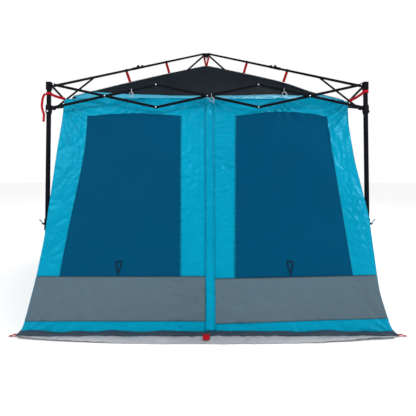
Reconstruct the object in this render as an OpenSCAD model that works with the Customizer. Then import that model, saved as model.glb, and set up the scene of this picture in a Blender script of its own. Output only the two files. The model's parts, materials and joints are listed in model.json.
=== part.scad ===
// Pop-up camping shelter: a folding steel frame that stands on four telescopic legs, with a
// fabric tent hung inside it. Millimetres, +Z up, front towards -Y.
// The origin is on the ground at the middle of the shelter, and the frame is drawn open.
// Corner 0 is the front left leg; corners 1, 2 and 3 follow at quarter turns.
// Side n runs from corner n to the next corner and carries three scissor crosses of two bars.

/* [Frame] */
// Distance between the axes of two neighbouring legs with the frame open
leg_spacing = 2900; // [2400:50:3600]
// Height of the upper truss pivots above the ground
eave_height = 2050; // [1800:10:2450]
// Height of the hub's beam pivots above the upper truss pivots
hub_rise = 765; // [600:5:900]
// Height between the upper and the lower truss pivots
truss_drop = 207; // [160:1:250]
// Angle of the truss bars to the ground with the frame folded
folded_angle = 84; // [80:0.5:86]

/* [Legs] */
// Outer width of the square outer leg tube
leg_w = 32; // [28:1:40]
// Wall of both leg tubes
leg_wall = 1.5; // [1:0.1:2]
// Outer width of the square telescopic lower tube
lower_w = 26; // [20:1:27]
// Height of the lower end of the outer tube above the ground
sleeve_bottom = 665; // [500:5:800]
// Length of the lower tube that stays inside the outer tube
leg_overlap = 150; // [100:5:200]
// Width of the square foot plate
foot_w = 76; // [60:1:90]
// Thickness of the foot plate
foot_t = 5; // [3:0.5:8]
// Radius of the peg hole in the foot plate
peg_hole_r = 5.5; // [4:0.5:7]

/* [Bars] */
// Height of a truss bar's flat tube
bar_h = 24; // [18:1:30]
// Thickness of a truss bar's flat tube
bar_t = 10; // [8:1:14]
// Gap between the two layers of truss bars
bar_gap = 1.5; // [1:0.1:3]
// Wall of the truss bars, beams and braces
bar_wall = 1; // [0.8:0.1:1.5]
// Height of a roof beam
beam_h = 24; // [20:1:30]
// Thickness of a roof beam
beam_t = 12; // [10:1:16]
// Distance along the diagonal from the leg axis to the fold joint of a beam
fold_reach = 975; // [800:5:1100]
// Height of the fold joint's pivot above the beam's centre line
fold_lift = 18; // [17:0.5:24]
// Height of a brace
brace_h = 18; // [14:1:22]
// Thickness of a brace
brace_t = 6; // [5:0.5:8]

/* [Brackets] */
// Width of the square top bracket and slider
bracket_w = 44; // [42:1:52]
// Distance from the leg axis to the truss pivots
truss_offset = 42; // [40:1:50]
// Distance from the leg axis, and from the hub axis, to the beam pivots
beam_offset = 52; // [50:1:60]
// Distance of the brace pivot below the slider's truss pivots
brace_drop = 10; // [5:1:15]
// Height of the top bracket above the truss pivots
bracket_above = 24; // [20:1:30]
// Depth of the top bracket below the truss pivots
bracket_below = 48; // [40:1:60]
// Height of the slider above its truss pivots
slider_above = 18; // [16:1:24]
// Depth of the slider below its truss pivots
slider_below = 62; // [50:1:80]
// Radius of the hub's body
hub_r = 34; // [30:1:36]

/* [Rivets] */
// Radius of the rivets that the bars turn on
rivet_r = 4; // [3:0.5:5]
// Radius of the rivet heads
head_r = 7; // [6:0.5:8]
// Thickness of the rivet heads
head_t = 2; // [1:0.5:3]
// Radial clearance of a bar on its rivet
pin_fit = 0.06; // [0.03:0.01:0.1]

/* [Tent] */
// Distance of the tent's eaves inside the legs' axes
eave_inset = 90; // [40:5:300]
// How much further out than the eaves the side walls stand at the ground
side_lean = 25; // [0:5:200]
// How much further out than the eaves the front and back walls stand
front_lean = 570; // [0:10:900]
// Width of the ground flap in front of the walls
flap_width = 70; // [20:5:300]
// Depth of the tent's eaves below the upper truss pivots
eave_below = 110; // [90:5:200]
// Depth of the roof's peak below the hub's beam pivots
peak_below = 140; // [100:5:200]
// Size of the corner notch that lets the brace through
notch = 90; // [70:5:120]
// Thickness of the fabric walls as solids
fabric_t = 3; // [2:0.5:6]
// Thickness of the ground sheet
sheet_t = 3; // [2:0.5:5]
// Width of the slit of the door zip
zip_gap = 10; // [6:1:20]

/* [Hidden] */
$fn = 32;
half = leg_spacing / 2;
eave_half = half - eave_inset;
side_half = eave_half + side_lean;
front_reach = eave_half + front_lean;
flap_reach = front_reach + flap_width;
diagonal = half * sqrt(2);
cross_len = (leg_spacing - 2 * truss_offset) / 3;
truss_angle = atan2(truss_drop, cross_len);
bar_len = cross_len / cos(truss_angle);
lower_pivot = eave_height - truss_drop;
layer = (bar_t + bar_gap) / 2;

beam_run = diagonal - 2 * beam_offset;
beam_angle = atan2(hub_rise, beam_run);
beam_len = beam_run / cos(beam_angle);
fold_at = (fold_reach - beam_offset) / cos(beam_angle);

// The brace and the stretch of beam above it lie almost in line when the frame is folded.
drop_open = truss_drop + brace_drop;
drop_folded = bar_len * sin(folded_angle) + brace_drop;
fold_spare = 6;
brace_sum = drop_folded + fold_spare;
brace_at = (pow(brace_sum, 2) - pow(drop_open, 2)) / (2 * (brace_sum + drop_open * sin(beam_angle)));
brace_len = brace_sum - brace_at;
brace_angle = acos(brace_at * cos(beam_angle) / brace_len);

tube_r = 3;
slip = 0.5;
head_gap = 0.1;
cheek_t = 4;
cheek_gap = 0.6;
cheek_in = beam_t / 2 + cheek_gap;
cheek_out = cheek_in + cheek_t;
lug_r = 13;
beam_lug_r = 12;
socket_gap = 0.1;
hub_pivot = eave_height + hub_rise;
eave_z = eave_height - eave_below;
peak_z = hub_pivot - peak_below;
wall_z = sheet_t + 1;
seam_gap = 0.2;
button_z = -40;
button_r = 8;
lock_z = sleeve_bottom + 120;
lever_w = 14;
lever_offset = leg_w / 2 * sqrt(2) + 16;
lever_len = 52;
fold_neck = 8;
beam_stop = 13;

side_names = ["front", "right", "rear", "left"];
corner_names = ["front_left", "front_right", "rear_right", "rear_left"];
corner_parts = ["upper_leg", "lower_leg", "leg_lock", "slider", "slider_button",
    "outer_beam", "inner_beam", "brace"];
NODES = concat(
    ["hub", "tent_walls", "tent_roof", "ground_sheet"],
    [for (n = [0:3], p = corner_parts) str(corner_names[n], "_", p)],
    [for (n = [0:3], b = [1:6]) str(side_names[n], "_truss_bar_", b)]);
node = "all";

function wanted(name) = node == "all" || node == name;

// ---- shared shapes

module rounded(w, h, r) {
    square([w - 2 * r, h], center = true);
    square([w, h - 2 * r], center = true);
    for (x = [-1, 1], y = [-1, 1])
        translate([x * (w / 2 - r), y * (h / 2 - r)])
            circle(r);
}

module tube_ring(w, h, r, wall) {
    difference() {
        rounded(w, h, r);
        rounded(w - 2 * wall, h - 2 * wall, r - wall);
    }
}

// A cylinder along Y through the origin
module rod(r, h) {
    rotate([90, 0, 0])
        cylinder(r = r, h = h, center = true);
}

// A flat tube along X from one pivot to the other, with round ends
module flat_tube(len, h, t) {
    intersection() {
        translate([-h, 0, 0])
            rotate([90, 0, 90])
                linear_extrude(len + 2 * h)
                    tube_ring(t, h, t / 4, bar_wall);
        union() {
            translate([0, -t, -h])
                cube([len, 2 * t, 2 * h]);
            rod(h / 2, 2 * t);
            translate([len, 0, 0])
                rod(h / 2, 2 * t);
        }
    }
}

// A plate in the XZ plane from the leg's axis to a round end at reach
module lug(reach, r, t) {
    translate([0, -t / 2, -r])
        cube([reach, t, 2 * r]);
    translate([reach, 0, 0])
        rod(r, t);
}

// A rivet along Y, from the outer face of one layer to the outer face of the other
module rivet() {
    span = 2 * bar_t + bar_gap + 2 * head_gap;
    rod(rivet_r, span + head_t);
    for (s = [-1, 1])
        translate([0, s * (span + head_t) / 2, 0])
            rod(head_r, head_t);
}

// A rivet that ends in its own bar's layer
module short_rivet(side) {
    translate([0, side * layer, 0])
        rod(rivet_r, bar_t);
    translate([0, side * (bar_t + bar_gap / 2 + head_t / 2), 0])
        rod(head_r, head_t);
}

// Places what follows at a corner of the frame, +X and +Y along its two sides
module at_corner(n) {
    rotate([0, 0, 90 * n])
        translate([-half, -half, 0])
            children();
}

// Places what follows in the corner's diagonal plane, +X towards the middle
module on_diagonal() {
    rotate([0, 0, 45])
        children();
}

module both_sides() {
    for (s = [0, 1])
        mirror([0, s, 0])
            children();
}

// ---- scissor trusses

// One truss bar: holes and rivets are fractions of its length, stub is the end without a partner
module truss_bar(side, holes, rivets, stubs) {
    difference() {
        translate([0, side * layer, 0])
            flat_tube(bar_len, bar_h, bar_t);
        for (f = holes)
            translate([f * bar_len, 0, 0])
                rod(rivet_r + pin_fit, 4 * bar_t);
    }
    for (f = rivets)
        translate([f * bar_len, 0, 0])
            rivet();
    for (f = stubs)
        translate([f * bar_len, 0, 0])
            short_rivet(side);
}

// Odd bars fall away from the corner in the outer layer, even bars rise in the inner layer
module placed_bar(n, b) {
    cross = floor((b - 1) / 2);
    falling = b % 2 == 1;
    start = [truss_offset + cross * cross_len, 0, falling ? eave_height : lower_pivot];
    color([0.11, 0.12, 0.14])
        at_corner(n)
            translate(start)
                rotate([0, falling ? truss_angle : -truss_angle, 0])
                    if (b == 1) truss_bar(-1, [0], [0.5, 1], []);
                    else if (b == 2) truss_bar(1, [0, 0.5], [1], []);
                    else if (b == 3) truss_bar(-1, [0], [0.5], [1]);
                    else if (b == 4) truss_bar(1, [0, 0.5], [], [1]);
                    else if (b == 5) truss_bar(-1, [1], [0.5], [0]);
                    else truss_bar(1, [0.5, 1], [], [0]);
}

// ---- legs

module leg_socket(z, h, gap) {
    translate([0, 0, z])
        linear_extrude(h)
            rounded(leg_w + 2 * gap, leg_w + 2 * gap, tube_r);
}

// The two truss lugs of a bracket, each in the layer that its bar leaves free
module truss_lugs(side) {
    for (turn = [0, 1])
        mirror([turn, -turn, 0])
            translate([0, (turn == 0 ? side : -side) * layer, 0])
                lug(truss_offset, lug_r, bar_t);
}

module truss_pins(side) {
    for (turn = [0, 1])
        mirror([turn, -turn, 0])
            translate([truss_offset, 0, 0])
                bracket_pin(turn == 0 ? side : -side);
}

// A pin from a lug in one layer through the bar in the other layer
module bracket_pin(side) {
    out = bar_t + bar_gap / 2;
    rod(rivet_r, 2 * out + 2 * head_gap);
    translate([0, -side * (out + head_gap + head_t / 2), 0])
        rod(head_r, head_t);
}

module cheeks(reach, r) {
    both_sides()
        translate([0, cheek_in + cheek_t / 2, 0])
            lug(reach, r, cheek_t);
}

module top_bracket() {
    difference() {
        union() {
            translate([0, 0, -bracket_below])
                linear_extrude(bracket_below + bracket_above)
                    rounded(bracket_w, bracket_w, tube_r + 1);
            truss_lugs(1);
            on_diagonal()
                cheeks(beam_offset, beam_lug_r);
        }
        leg_socket(-bracket_below - 1, bracket_below + bracket_above - 7, socket_gap);
    }
    truss_pins(1);
    on_diagonal()
        translate([beam_offset, 0, 0])
            rod(rivet_r, 2 * cheek_out + head_t);
}

// The collar that carries the leg lock, and the ring that guides the lower tube
module lock_collar() {
    difference() {
        union() {
            translate([0, 0, -60])
                linear_extrude(105)
                    rounded(leg_w + 10, leg_w + 10, tube_r + 2);
            on_diagonal()
                both_sides()
                    translate([0, lever_w / 2 + cheek_gap + cheek_t / 2, 0])
                        mirror([1, 0, 0])
                            lug(lever_offset, 8, cheek_t);
        }
        leg_socket(-61, 107, socket_gap);
    }
    on_diagonal()
        translate([-lever_offset, 0, 0])
            rod(2.5, lever_w + 2 * cheek_gap + 2 * cheek_t);
}

module guide_ring() {
    translate([0, 0, sleeve_bottom - 8])
        linear_extrude(8)
            difference() {
                rounded(leg_w + 7, leg_w + 7, tube_r + 2);
                rounded(lower_w + 2 * slip, lower_w + 2 * slip, tube_r);
            }
}

module upper_leg(n) {
    at_corner(n) {
        color([0.1, 0.11, 0.13])
            translate([0, 0, sleeve_bottom])
                linear_extrude(eave_height + bracket_above - 8 - sleeve_bottom)
                    tube_ring(leg_w, leg_w, tube_r, leg_wall);
        color([0.08, 0.08, 0.1]) {
            translate([0, 0, eave_height])
                top_bracket();
            translate([0, 0, lock_z])
                lock_collar();
        }
        color([0.72, 0.74, 0.76])
            guide_ring();
    }
}

module lower_leg(n) {
    spigot = lower_w - 2 * leg_wall - 0.4;
    at_corner(n) {
        color([0.14, 0.15, 0.17])
            translate([0, 0, foot_t])
                linear_extrude(sleeve_bottom + leg_overlap - foot_t)
                    tube_ring(lower_w, lower_w, tube_r, leg_wall);
        color([0.55, 0.57, 0.6])
            difference() {
                union() {
                    linear_extrude(foot_t)
                        rounded(foot_w, foot_w, 8);
                    linear_extrude(foot_t + 30)
                        rounded(spigot, spigot, 1.5);
                }
                // beside the leg, so that a peg can be driven past the lock lever
                on_diagonal()
                    translate([0, foot_w / 2 + 2, -1])
                        cylinder(r = peg_hole_r, h = foot_t + 2);
            }
    }
}

// ---- leg lock lever, pressed towards the leg to free the lower tube

module leg_lock(n) {
    color([0.62, 0.65, 0.68])
        at_corner(n)
            translate([0, 0, lock_z])
                on_diagonal()
                    translate([-lever_offset, 0, 0])
                        difference() {
                            union() {
                                rod(6.5, lever_w);
                                rotate([0, 55, 0])
                                    mirror([1, 0, 0])
                                        lug(lever_len, 5, lever_w);
                            }
                            rod(2.5 + pin_fit, 2 * lever_w);
                        }
}

// ---- sliders, their braces and release buttons

module slider_body() {
    translate([0, 0, -slider_below + 14])
        linear_extrude(slider_below - 14 + slider_above)
            rounded(bracket_w, bracket_w, tube_r + 1);
    translate([0, 0, -slider_below])
        linear_extrude(15)
            rounded(bracket_w - 4, bracket_w - 4, tube_r + 1);
    translate([0, -bracket_w / 2, button_z])
        rod(button_r + 4, 14);
    truss_lugs(-1);
    on_diagonal()
        translate([0, 0, -brace_drop])
            lug(beam_offset, brace_h / 2 + 2, beam_t);
}

module slider(n) {
    pin_out = beam_t / 2 + cheek_gap + brace_t + head_gap;
    color([0.08, 0.08, 0.1])
        at_corner(n)
            translate([0, 0, lower_pivot]) {
                difference() {
                    slider_body();
                    leg_socket(-slider_below - 1, slider_below + slider_above + 2, slip);
                    translate([0, -bracket_w / 2 - 4, button_z])
                        rod(button_r + pin_fit, 14);
                }
                truss_pins(-1);
                on_diagonal()
                    translate([beam_offset, 0, -brace_drop]) {
                        translate([0, pin_out / 2, 0])
                            rod(rivet_r, pin_out + 0.2);
                        translate([0, pin_out + head_t / 2, 0])
                            rod(head_r, head_t);
                    }
            }
}

module slider_button(n) {
    color([0.2, 0.21, 0.23])
        at_corner(n)
            translate([0, -bracket_w / 2 - 7, lower_pivot + button_z])
                rod(button_r, 10);
}

module brace(n) {
    color([0.11, 0.12, 0.14])
        at_corner(n)
            on_diagonal()
                translate([beam_offset, beam_t / 2 + cheek_gap + brace_t / 2, lower_pivot - brace_drop])
                    rotate([0, -brace_angle, 0]) {
                        difference() {
                            flat_tube(brace_len, brace_h, brace_t);
                            rod(rivet_r + pin_fit, 3 * brace_t);
                        }
                        translate([brace_len, head_t / 2, 0])
                            rod(rivet_r, brace_t + head_t);
                        translate([brace_len, (brace_t + head_t) / 2, 0])
                            rod(head_r, head_t);
                    }
}

// ---- roof beams and hub

// Places what follows along a beam, its outer pivot at the origin and +X up the slope
module along_beam(n) {
    at_corner(n)
        on_diagonal()
            translate([beam_offset, 0, eave_height])
                rotate([0, -beam_angle, 0])
                    children();
}

// The housing on the outer half: two cheeks that hold the fold pivot, joined over the tube
module fold_housing() {
    both_sides()
        translate([0, cheek_in, 0]) {
            translate([-75, 0, -beam_h / 2 - 1])
                cube([75 + beam_lug_r, cheek_t, beam_h + 2]);
            translate([-beam_lug_r, 0, 0])
                cube([2 * beam_lug_r, cheek_t, fold_lift]);
            translate([0, cheek_t / 2, fold_lift])
                rod(beam_lug_r, cheek_t);
        }
    translate([-75, -cheek_out, beam_h / 2 + 0.2])
        cube([50, 2 * cheek_out, 3.4]);
    translate([-55, 0, 0])
        rod(rivet_r, 2 * cheek_out + head_t);
    translate([0, 0, fold_lift])
        rod(rivet_r, 2 * cheek_out + head_t);
}

module outer_beam(n) {
    color([0.11, 0.12, 0.14])
        along_beam(n) {
            difference() {
                intersection() {
                    flat_tube(beam_len, beam_h, beam_t);
                    translate([-beam_h, -beam_t, -beam_h])
                        cube([fold_at + beam_h - beam_stop, 2 * beam_t, 2 * beam_h]);
                }
                rod(rivet_r + pin_fit, 3 * beam_t);
            }
            translate([fold_at, 0, 0])
                fold_housing();
            translate([brace_at, -head_t, 0])
                rod(rivet_r, beam_t + head_t);
            translate([brace_at, -(beam_t + head_t) / 2, 0])
                rod(head_r, head_t);
        }
}

// The tongue on the inner half that turns on the fold pivot, with a sleeve further along the tube
module fold_tongue() {
    difference() {
        union() {
            translate([0, 0, fold_lift])
                rod(beam_lug_r - 1.5, beam_t);
            translate([-fold_neck, -beam_t / 2, 0])
                cube([2 * fold_neck, beam_t, fold_lift]);
        }
        translate([0, 0, fold_lift])
            rod(rivet_r + pin_fit, 3 * beam_t);
    }
    difference() {
        union() {
            translate([38, -beam_t / 2 - 3, -beam_h / 2 - 1])
                cube([40, beam_t + 6, beam_h + 2]);
            translate([56, 0, fold_lift - 4])
                rod(9, beam_t + 6);
        }
        translate([36, -beam_t / 2 - socket_gap, -beam_h / 2 - socket_gap])
            cube([44, beam_t + 2 * socket_gap, beam_h + 2 * socket_gap]);
    }
    translate([56, 0, 0])
        rod(rivet_r, beam_t + 10);
}

module inner_beam(n) {
    color([0.11, 0.12, 0.14])
        along_beam(n) {
            difference() {
                intersection() {
                    flat_tube(beam_len, beam_h, beam_t);
                    translate([fold_at - fold_neck, -beam_t, -beam_h])
                        cube([beam_len + beam_h - fold_at + fold_neck, 2 * beam_t, 2 * beam_h]);
                }
                translate([beam_len, 0, 0])
                    rod(rivet_r + pin_fit, 3 * beam_t);
            }
            translate([fold_at, 0, 0])
                fold_tongue();
        }
}

module hub() {
    hook_wire = 2.5;
    hook_r = 12;
    color([0.08, 0.08, 0.1])
        translate([0, 0, hub_pivot]) {
            translate([0, 0, -26])
                cylinder(r = hub_r, h = 40);
            for (n = [0:3])
                rotate([0, 0, 90 * n + 45]) {
                    cheeks(beam_offset, beam_lug_r);
                    translate([beam_offset, 0, 0])
                        rod(rivet_r, 2 * cheek_out + head_t);
                }
            translate([0, 0, -34])
                cylinder(r = 7, h = 9);
            translate([0, 0, -34 - hook_r])
                rotate([90, 0, 0])
                    rotate_extrude()
                        translate([hook_r, 0])
                            circle(hook_wire);
        }
}

// ---- tent

// Half width of the side walls, and reach of the front and back walls, at a height
function side_x(z) = side_half + (eave_half - side_half) * z / eave_z;
function wall_y(z) = front_reach + (eave_half - front_reach) * z / eave_z;

// A flat wall that leans inwards: points are [across, height], lean is how far its top comes in
module leaning_wall(points, lean) {
    slope = atan2(lean, eave_z);
    rotate([90 - slope, 0, 0])
        linear_extrude(fabric_t)
            polygon([for (p = points) [p[0], p[1] / cos(slope)]]);
}

module tent_walls() {
    ear_z = eave_z - notch;
    edge = eave_half - notch;
    slit = zip_gap / 2;
    half_front = [
        [slit, wall_z],
        [side_x(wall_z) - seam_gap, wall_z],
        [side_x(ear_z) - seam_gap, ear_z],
        [edge, eave_z],
        [slit, eave_z]];
    whole_back = concat(
        [for (i = [1:3]) half_front[i]],
        [for (i = [3:-1:1]) [-half_front[i][0], half_front[i][1]]]);
    half_side = [[wall_y(wall_z), wall_z], [wall_y(ear_z), ear_z], [edge, eave_z]];
    whole_side = concat(half_side, [for (i = [2:-1:0]) [-half_side[i][0], half_side[i][1]]]);
    color([0.03, 0.62, 0.77]) {
        translate([0, -front_reach, 0])
            for (m = [0, 1])
                mirror([m, 0, 0])
                    leaning_wall(half_front, front_reach - eave_half);
        rotate([0, 0, 180])
            translate([0, -front_reach, 0])
                leaning_wall(whole_back, front_reach - eave_half);
        for (turn = [90, -90])
            rotate([0, 0, turn])
                translate([0, -side_half, 0])
                    leaning_wall(whole_side, side_half - eave_half);
    }
}

// The roof is a hollow pyramid whose corners are cut off where the braces pass
module roof_pyramid(top) {
    edge = eave_half - notch;
    linear_extrude(top, scale = 0)
        polygon([
            [-edge, -eave_half], [edge, -eave_half], [eave_half, -edge], [eave_half, edge],
            [edge, eave_half], [-edge, eave_half], [-eave_half, edge], [-eave_half, -edge]]);
}

module tent_roof() {
    color([0.12, 0.16, 0.2])
        translate([0, 0, eave_z + 1])
            difference() {
                roof_pyramid(peak_z - eave_z);
                translate([0, 0, -fabric_t])
                    roof_pyramid(peak_z - eave_z);
            }
}

module ground_sheet() {
    color([0.64, 0.66, 0.68])
        translate([-side_half, -flap_reach, 0])
            cube([2 * side_half, 2 * flap_reach, sheet_t]);
}

// ---- every node

if (wanted("hub")) hub();
if (wanted("tent_walls")) tent_walls();
if (wanted("tent_roof")) tent_roof();
if (wanted("ground_sheet")) ground_sheet();
for (n = [0:3]) {
    if (wanted(str(corner_names[n], "_upper_leg"))) upper_leg(n);
    if (wanted(str(corner_names[n], "_lower_leg"))) lower_leg(n);
    if (wanted(str(corner_names[n], "_leg_lock"))) leg_lock(n);
    if (wanted(str(corner_names[n], "_slider"))) slider(n);
    if (wanted(str(corner_names[n], "_slider_button"))) slider_button(n);
    if (wanted(str(corner_names[n], "_outer_beam"))) outer_beam(n);
    if (wanted(str(corner_names[n], "_inner_beam"))) inner_beam(n);
    if (wanted(str(corner_names[n], "_brace"))) brace(n);
    for (b = [1:6])
        if (wanted(str(side_names[n], "_truss_bar_", b))) placed_bar(n, b);
}
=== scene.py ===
# %% [markdown]
# This scene finishes a pop-up camping shelter: a black folding frame on four legs, and a blue
# tent that hangs inside the frame on red webbing. The frame comes from the design model with
# every bar, leg and bracket in place, and keeps its shape. Here it gets painted steel, moulded
# nylon and bright rivets, and the tent is sewn from curved sheets of cloth.

# %% Load the frame
import json
import math

import bmesh
import bpy
from mathutils import Matrix, Vector, noise


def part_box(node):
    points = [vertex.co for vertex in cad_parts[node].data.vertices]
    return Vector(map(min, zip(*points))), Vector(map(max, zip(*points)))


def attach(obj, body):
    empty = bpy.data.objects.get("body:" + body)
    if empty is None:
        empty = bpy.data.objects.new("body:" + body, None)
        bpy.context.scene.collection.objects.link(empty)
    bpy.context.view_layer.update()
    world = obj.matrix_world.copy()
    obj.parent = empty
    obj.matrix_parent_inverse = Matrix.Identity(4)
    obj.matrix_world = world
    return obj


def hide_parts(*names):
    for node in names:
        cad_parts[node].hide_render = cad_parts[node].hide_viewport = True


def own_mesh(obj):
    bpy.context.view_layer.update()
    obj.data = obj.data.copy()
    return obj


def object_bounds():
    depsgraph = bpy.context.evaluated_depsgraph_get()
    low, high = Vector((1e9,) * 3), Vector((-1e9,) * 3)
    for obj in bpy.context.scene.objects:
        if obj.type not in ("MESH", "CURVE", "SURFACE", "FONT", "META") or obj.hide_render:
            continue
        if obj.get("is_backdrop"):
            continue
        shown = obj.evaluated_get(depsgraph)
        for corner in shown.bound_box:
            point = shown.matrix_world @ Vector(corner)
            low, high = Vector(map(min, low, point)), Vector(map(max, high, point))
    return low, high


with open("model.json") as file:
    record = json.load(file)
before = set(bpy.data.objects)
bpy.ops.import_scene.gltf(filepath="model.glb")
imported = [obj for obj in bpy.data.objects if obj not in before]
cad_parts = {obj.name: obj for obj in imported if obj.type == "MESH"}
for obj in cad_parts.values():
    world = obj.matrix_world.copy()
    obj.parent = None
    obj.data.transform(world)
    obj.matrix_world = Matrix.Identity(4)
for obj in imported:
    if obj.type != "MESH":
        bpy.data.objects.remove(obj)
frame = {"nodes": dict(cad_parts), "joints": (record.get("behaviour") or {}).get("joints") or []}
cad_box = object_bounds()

print("nodes:", len(frame["nodes"]), "box:", [round(c, 3) for c in cad_box[1]])

# %% [markdown]
# Every size starts from the frame. The legs give the distance between corners, the beam joints
# give the eaves and the hub, and the plain tent solids give the space that the cloth may fill.

# %% Sizes from the frame
CORNERS = ("front_left", "front_right", "rear_right", "rear_left")
SIDES = ("front", "right", "rear", "left")
joint_at = {j["name"]: Vector(j["pos_m"]) for j in frame["joints"] if "pos_m" in j}


def middle(node):
    low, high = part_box(node)
    return (Vector(low) + Vector(high)) / 2


leg_out = abs(middle("front_left_lower_leg").x)
eave_pivot = joint_at["front_left_beam_joint"].z
hub_pivot = joint_at["front_left_hub_joint"].z
slider_pivot = joint_at["front_left_slider_joint"].z
walls_low, walls_high = [Vector(c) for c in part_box("tent_walls")]
roof_high = Vector(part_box("tent_roof")[1])
flap_high = Vector(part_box("ground_sheet")[1])
eave_z = walls_high.z
peak_z = roof_high.z
eave_half = roof_high.x
foot_reach = -walls_low.y
print("legs at", round(leg_out, 3), "eaves", round(eave_z, 3), "peak", round(peak_z, 3))

# %% [markdown]
# The floor is a plain pale sheet, and the light is soft: a bright white room with one broad lamp
# high in front and a weaker one from behind the right shoulder, so that the folds of the cloth
# show. The camera stands in front of the door at chest height.

# %% Camera, floor and light
LENS_MM = 30.18
CAMERA_AT = Vector((-0.026, -4.628, 1.253))
CAMERA_PITCH = math.radians(91.6)

camera_data = bpy.data.cameras.new("camera")
camera_data.lens = LENS_MM
camera_data.sensor_width = 36
camera_data.shift_x = 0.0087
camera_data.shift_y = -0.1107
camera = bpy.data.objects.new("camera", camera_data)
camera.location = CAMERA_AT
camera.rotation_euler = (CAMERA_PITCH, 0, 0)
bpy.context.collection.objects.link(camera)
bpy.context.scene.camera = camera

bpy.context.scene.view_settings.view_transform = "Standard"
world = bpy.data.worlds.new("white_room")
bpy.context.scene.world = world
world.use_nodes = True
world.node_tree.nodes["Background"].inputs["Color"].default_value = (1, 1, 1, 1)
world.node_tree.nodes["Background"].inputs["Strength"].default_value = 1.0


def lamp(name, at, target, size, power):
    data = bpy.data.lights.new(name, "AREA")
    data.size = size
    data.energy = power
    lit = bpy.data.objects.new(name, data)
    lit.location = at
    lit.rotation_euler = (Vector(target) - Vector(at)).to_track_quat("-Z", "Y").to_euler()
    bpy.context.collection.objects.link(lit)


lamp("key", (-4.5, -6.5, 6.5), (0, -0.5, 1.0), 1.3, 300)
lamp("fill", (6.0, -4.0, 4.6), (0.6, -0.5, 1.2), 1.1, 230)
lamp("rim", (3.0, 6.5, 6.0), (0, 0.0, 1.6), 3.0, 160)

# %% [markdown]
# Shared effects are node groups, built once. A group only hands out values: a height for the
# weave, a mask for worn edges, or a drift of light and dark. The shader itself stays in each
# material.

# %% Node group helpers
def new_group(name, inputs, outputs):
    group = bpy.data.node_groups.new(name, "ShaderNodeTree")
    for label, kind, value in inputs:
        socket = group.interface.new_socket(label, in_out="INPUT", socket_type=kind)
        if value is not None:
            socket.default_value = value
    for label, kind in outputs:
        group.interface.new_socket(label, in_out="OUTPUT", socket_type=kind)
    return group


class Nodes:
    """A short way to add and wire nodes in one tree."""

    def __init__(self, tree):
        self.tree = tree

    def add(self, kind, **settings):
        node = self.tree.nodes.new(kind)
        for key, value in settings.items():
            setattr(node, key, value)
        return node

    def wire(self, source, target):
        self.tree.links.new(source, target)

    def put(self, target, value):
        if hasattr(value, "is_output"):
            self.wire(value, target)
        else:
            target.default_value = value

    def math(self, operation, a, b=0.0, clamp=False):
        node = self.add("ShaderNodeMath", operation=operation, use_clamp=clamp)
        self.put(node.inputs[0], a)
        self.put(node.inputs[1], b)
        return node.outputs[0]

    def noise(self, vector, scale, detail=3.0, rough=0.5):
        node = self.add("ShaderNodeTexNoise")
        self.wire(vector, node.inputs["Vector"])
        self.put(node.inputs["Scale"], scale)
        self.put(node.inputs["Detail"], detail)
        self.put(node.inputs["Roughness"], rough)
        return node.outputs["Fac"]

    def ramp(self, value, low, high, to_low=0.0, to_high=1.0):
        node = self.add("ShaderNodeMapRange", clamp=True)
        self.put(node.inputs["Value"], value)
        self.put(node.inputs["From Min"], low)
        self.put(node.inputs["From Max"], high)
        self.put(node.inputs["To Min"], to_low)
        self.put(node.inputs["To Max"], to_high)
        return node.outputs["Result"]

    def mix(self, fac, a, b):
        node = self.add("ShaderNodeMix", data_type="RGBA")
        self.put(node.inputs["Factor"], fac)
        self.put(node.inputs[6], a)
        self.put(node.inputs[7], b)
        return node.outputs[2]


# %% [markdown]
# A plain weave has threads that pass over and under each other in two directions. Two trains of
# waves at right angles, multiplied, give the height of the threads. Noise stretched one way gives
# the uneven thickness of the yarn.

# %% Weave: crossing threads of a plain cloth
def make_weave():
    group = new_group(
        "plain_weave",
        [("Vector", "NodeSocketVector", None), ("Threads", "NodeSocketFloat", 900.0)],
        [("Height", "NodeSocketFloat"), ("Slub", "NodeSocketFloat")])
    n = Nodes(group)
    source = n.add("NodeGroupInput")
    result = n.add("NodeGroupOutput")
    split = n.add("ShaderNodeSeparateXYZ")
    n.wire(source.outputs["Vector"], split.inputs[0])
    warp = n.math("SINE", n.math("MULTIPLY", split.outputs[0], source.outputs["Threads"]))
    weft = n.math("SINE", n.math("MULTIPLY", split.outputs[1], source.outputs["Threads"]))
    n.wire(n.math("MULTIPLY", warp, weft), result.inputs["Height"])
    stretched = n.add("ShaderNodeMapping")
    stretched.inputs["Scale"].default_value = (1.0, 14.0, 1.0)
    n.wire(source.outputs["Vector"], stretched.inputs["Vector"])
    n.wire(n.noise(stretched.outputs[0], 9.0, 4.0), result.inputs["Slub"])
    return group


# %% [markdown]
# A tent lives in its bag, so the cloth keeps a net of small sharp creases. They come from the
# borders between bent cells, with fine noise added, and a slow noise lets the colour drift.

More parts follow.
